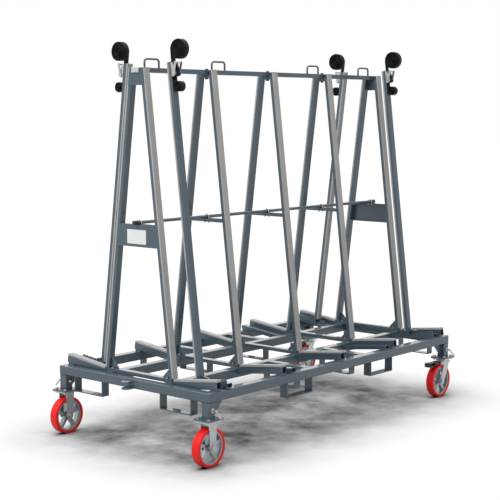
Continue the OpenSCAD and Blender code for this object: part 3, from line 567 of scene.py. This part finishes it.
# The edges that a post makes with its foot bar, and the foot bar with the inner rail
def footLines(x, side):
    half = cart["postWidth"] / 2
    top, base = cart["footTop"], cart["baseTop"]
    inner, outer = side * faceY(cart["postIn"], top), side * faceY(cart["postOut"], top)
    rail = side * cart["railOff"]
    reach = cart["beam"] / 2
    lines = [((x - half, inner, top), (x + half, inner, top))]
    for edge in (x - half, x + half):
        lines.append(((edge, inner, top), (edge, outer, top)))
        lines.append(((edge, rail - reach, base), (edge, rail + reach, base)))
    return lines


# Across the mitre on top of a corner, and up both sides of an inner rail's end
def cornerLines(side, end):
    reach, inset = cart["beam"] / 2, weld["inset"]
    x, y = cart["middleX"] + end * cart["endBeamX"], side * cart["longBeamY"]
    top = cart["baseTop"] - weld["mitreSink"]
    across = reach - inset
    lines = [((x - end * across, y - side * across, top), (x + end * across, y + side * across, top))]
    for edge in (-1, 1):
        place = (x - end * reach, side * cart["railOff"] + edge * reach)
        lines.append(((*place, cart["beamBottom"] + inset), (*place, cart["baseTop"] - inset)))
    return lines


def makeWelds(material):
    mesh = bmesh.new()
    half = cart["frames"] // 2
    lines = []
    for i in range(-half, half + 1):
        for side in sides.values():
            lines += footLines(cart["middleX"] + i * cart["framePitch"], side)
    for side in sides.values():
        for end in ends.values():
            lines += cornerLines(side, end)
    for start, end in lines:
        addBead(mesh, start, end)
    piece = makeObject("weldBeads", mesh, material)
    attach(piece, "cart_frame")


# A bare label on the left end plate, its corners rounded and its rim a little raised

label = {"width": 0.138, "height": 0.075, "thickness": 0.0006, "raised": 1.4, "corner": 0.004,
         "rim": 0.003, "rimRounding": 0.8, "y": 0.006, "z": 1.1255, "low": (206, 207, 208),
         "high": (222, 223, 222), "cloud": (26, 4), "roughness": 0.34, "grain": (700, 3),
         "grainDepth": 0.00004, "grainDulls": 0.14, "soiled": (168, 168, 164),
         "soil": (60, 6, 0.7, 0.58, 4), "soilShows": 0.35}


def labelSurface():
    surface = Surface("label")
    grain = surface.noise(*label["grain"])
    cloud = surface.noise(*label["cloud"])
    soil = surface.spots(*label["soil"])
    base = surface.blend(colour(*label["low"]), colour(*label["high"]), cloud)
    worn = surface.blend(base, colour(*label["soiled"]), soil * label["soilShows"])
    surface.set({"Base Color": worn,
                 "Roughness": label["roughness"] + grain * label["grainDulls"],
                 "Normal": surface.bump(grain * label["grainDepth"], 1.0)})
    return surface.material


def makeLabel(material):
    mesh = bmesh.new()
    face = cart["middleX"] - cart["postEndX"]
    flat, raised, rim = label["thickness"], label["thickness"] * label["raised"], label["rim"]
    rings = []
    for out, inset in ((0, 0), (flat, 0), (raised, rim / 3), (raised, rim * 2 / 3), (flat, rim)):
        outline = roundedOutline(label["width"] - 2 * inset, label["height"] - 2 * inset,
                                 label["corner"] - inset * label["rimRounding"])
        rings.append([mesh.verts.new((face - out, label["y"] + across, label["z"] + up))
                      for across, up in outline])
    skinRings(mesh, rings)
    piece = makeObject("label", mesh, material, False)
    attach(piece, "cart_frame")


# Pressed guards under the pedals' tips, and on each a bright zinc strip that is a painted highlight of
# the pedal's top

pedal = {"pinX": 1.041, "length": 0.110, "width": 0.044, "rootZ": 0.221, "tipZ": 0.2265,
         "guardFrom": 0.45, "guardSteps": 14, "skirt": 0.026, "skirtFrom": 0.25, "sheet": 0.0025,
         "fold": 0.002, "highlightLength": 0.060, "highlightWidth": 0.030, "highlightCorner": 0.006,
         "highlightPast": 0.006, "highlightLayers": ((0.0, 1.0), (-0.0015, 1.0), (-0.0022, 0.94))}


def pedalPoint(along, across, drop, side):
    top = pedal["rootZ"] + (pedal["tipZ"] - pedal["rootZ"]) * along / pedal["length"]
    return (cart["middleX"] + pedal["pinX"] - along, side * cart["longBeamY"] + across, top - drop)


# A channel whose skirt deepens toward the tip, closed there by an apron
def guardMesh(side):
    mesh = bmesh.new()
    half, sheet, fold, length = pedal["width"] / 2, pedal["sheet"], pedal["fold"], pedal["length"]
    inner, start = half - sheet, length * pedal["guardFrom"]
    rings = []
    for i in range(pedal["guardSteps"] + 1):
        share = i / pedal["guardSteps"]
        along = start + (length - start) * share
        growth = (1 - pedal["skirtFrom"]) * math.sin(math.pi / 2 * share)
        deep = pedal["skirt"] * (pedal["skirtFrom"] + growth)
        section = [(-half, deep), (-half, fold), (-half + fold, 0), (half - fold, 0), (half, fold),
                   (half, deep), (inner, deep), (inner, sheet), (-inner, sheet), (-inner, deep)]
        rings.append([mesh.verts.new(pedalPoint(along, across, drop, side))
                      for across, drop in section])
    skinRings(mesh, rings, False)
    corners = ((-half, pedal["skirt"]), (-half, fold), (half, fold), (half, pedal["skirt"]))
    apron = [mesh.verts.new(pedalPoint(length + sheet, across, drop, side))
             for across, drop in corners]
    back = [rings[-1][i] for i in (0, 1, 4, 5)]
    mesh.faces.new(apron)
    for i in range(4):
        after = (i + 1) % 4
        mesh.faces.new((apron[i], apron[after], back[after], back[i]))
    return mesh


# A thin zinc strip on the pedal's top, standing in as a painted highlight of that face
def highlightStripMesh(side):
    mesh = bmesh.new()
    outline = roundedOutline(pedal["highlightLength"], pedal["highlightWidth"], pedal["highlightCorner"])
    middle = pedal["length"] - pedal["highlightLength"] / 2 + pedal["highlightPast"]
    skinRings(mesh, [[mesh.verts.new(pedalPoint(middle + along * shrink, across * shrink, drop, side))
                      for along, across in outline] for drop, shrink in pedal["highlightLayers"]])
    return mesh


def makePedals(guardMaterial, highlightStripMaterial):
    for sideName, side in sides.items():
        guard = makeObject(f"pedalGuard_{sideName}", guardMesh(side), guardMaterial, False)
        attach(guard, f"pedal_{sideName}")
        # The bright strip is a painted highlight laid on the pedal's top
        highlightStrip = makeObject(f"pedalHighlightStrip_{sideName}", highlightStripMesh(side), highlightStripMaterial, False)
        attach(highlightStrip, f"pedal_{sideName}")


# Studio

floor = {"size": 60.0, "tone": 0.60, "dark": 0.07, "shadeLength": 0.95, "shadeWidth": 0.35,
         "whiteTo": 0.86, "cloud": (2.6, 7, 0.66, 0.36, 3.4), "cloudShare": 0.80,
         "cloudDulls": 0.1, "contactReach": 0.15, "contactShadowTone": 0.006, "contactLevel": 0.30,
         "contactSteepness": 1.9, "roughness": 0.72, "gloss": 0.2}


# Round the cart the floor is lit, with a mottled shadow under the cart and contact shadows painted into
# its colour, and farther out the camera and mirrors see white
def makeFloor():
    surface = Surface("floor")
    place = surface.parts(surface.place())
    pastX = (abs(place["X"]) - floor["shadeLength"]).atLeast(0)
    pastY = (abs(place["Y"]) - floor["shadeWidth"]).atLeast(0)
    away = ((pastX ** 2 + pastY ** 2) ** 0.5 / floor["whiteTo"]).clamped()
    seen = surface.add("LightPath", {}, {}, "Is Camera Ray")
    mirrored = seen.beside("Is Glossy Ray")
    white = away * away * (3 - away * 2) * (seen + mirrored).clamped()
    # A painted shadow under the cart, mottled by a noise, darkens the floor's colour and fades away
    # from the cart
    cloud = surface.spots(*floor["cloud"])
    shade = (1 - cloud * floor["cloudShare"]) * (1 - away)
    shaded = surface.blend(grey(floor["tone"]), grey(floor["tone"] * floor["dark"]), shade)
    # A painted contact shadow: the colour goes nearly black where ambient occlusion finds parts close
    # by
    reach = {"Distance": floor["contactReach"]}
    touch = surface.add("AmbientOcclusion", {"samples": 8}, reach, "AO")
    clear = ((touch - floor["contactLevel"]) * floor["contactSteepness"]).clamped()
    paintedShadows = surface.blend(grey(floor["contactShadowTone"]), shaded, clear)
    surface.set({"Base Color": surface.blend(paintedShadows, grey(0), white),
                 "Roughness": floor["roughness"] + cloud * floor["cloudDulls"],
                 "Specular IOR Level": floor["gloss"], "Emission Strength": 1.0,
                 "Emission Color": surface.blend(grey(0), grey(1), white * clear)})
    mesh = bmesh.new()
    bmesh.ops.create_grid(mesh, x_segments=1, y_segments=1, size=floor["size"])
    makeObject("studioFloor", mesh, surface.material, False)


sky = {"low": 0.10, "high": 1.05, "mirrored": 1.0}


# The sky is dark at the horizon and bright overhead, and plain white to the camera and mirrors
def makeSky():
    world = bpy.data.worlds.new("studio")
    bpy.context.scene.world = world
    world.use_nodes = True
    graph = Graph(world.node_tree, "Background")
    height = graph.parts(graph.add("TexCoord", {}, {}, "Generated"))["Z"].clamped()
    seen = graph.add("LightPath", {}, {}, "Is Camera Ray")
    mirrored = seen.beside("Is Glossy Ray")
    glow = height * (sky["high"] - sky["low"]) + sky["low"]
    strength = glow * (1 - seen) * (1 - mirrored) + mirrored * sky["mirrored"] + seen
    graph.set({"Color": grey(1), "Strength": strength})


# Each lamp is a disk: its place, size and power
lamps = {"key": ((-6.5, 1.0, 5.5), 4.0, 320.0), "fill": ((-1.0, -6.5, 3.0), 4.0, 48.0),
         "top": ((0.0, 0.0, 6.5), 5.0, 240.0)}
lampTarget = (0.0, 0.0, 0.8)


def makeLights():
    for name, (place, size, power) in lamps.items():
        data = bpy.data.lights.new(name, "AREA")
        data.shape = "DISK"
        data.size = size
        data.energy = power
        light = bpy.data.objects.new(name, data)
        light.location = place
        aim = Vector(lampTarget) - Vector(place)
        light.rotation_euler = aim.to_track_quat("-Z", "Y").to_euler()
        bpy.context.scene.collection.objects.link(light)


camera = {"place": (-5.7495, -4.7285, 1.7739), "yaw": 48.642, "pitch": -6.190, "focal": 92.1,
          "shift": (0.0566, 0.0018), "farthest": 100}


def makeCamera():
    data = bpy.data.cameras.new("camera")
    data.lens = camera["focal"]
    data.shift_x, data.shift_y = camera["shift"]
    data.clip_end = camera["farthest"]
    viewer = bpy.data.objects.new("camera", data)
    viewer.location = camera["place"]
    pitch, yaw = math.radians(90 + camera["pitch"]), math.radians(-camera["yaw"])
    viewer.rotation_euler = (pitch, 0, yaw)
    bpy.context.scene.collection.objects.link(viewer)
    bpy.context.scene.camera = viewer
    bpy.context.scene.view_settings.view_transform = "Standard"


materials = {
    "frame_paint": lookSurface("framePaint", paintLook),
    "centre_rod": rodSurface(),
    "caster_plates": plateSurface(),
    "frame_fasteners": fastenerSurface(),
    "pad_rubber": rubberSurface(),
    "zinc": lookSurface("zincPlate", zincLook),
    "cap_plastic": lookSurface("capPlastic", plasticLook, "cap"),
    "pedal_paint": lookSurface("pedalPaint", plasticLook, "pedal"),
    "wheel_core": castSurface(),
    "tread": treadSurface(),
    "webbing": webbingSurface(),
}
paintNodes(materials)
softenEdges()
print("CAD nodes dressed")
makeStraps(materials["webbing"])
print("straps wound")
makeWelds(materials["frame_paint"])
makeLabel(labelSurface())
makePedals(materials["pedal_paint"], materials["zinc"])
print("welds, label and pedals made")
makeFloor()
makeSky()
makeLights()
makeCamera()
print("studio ready")
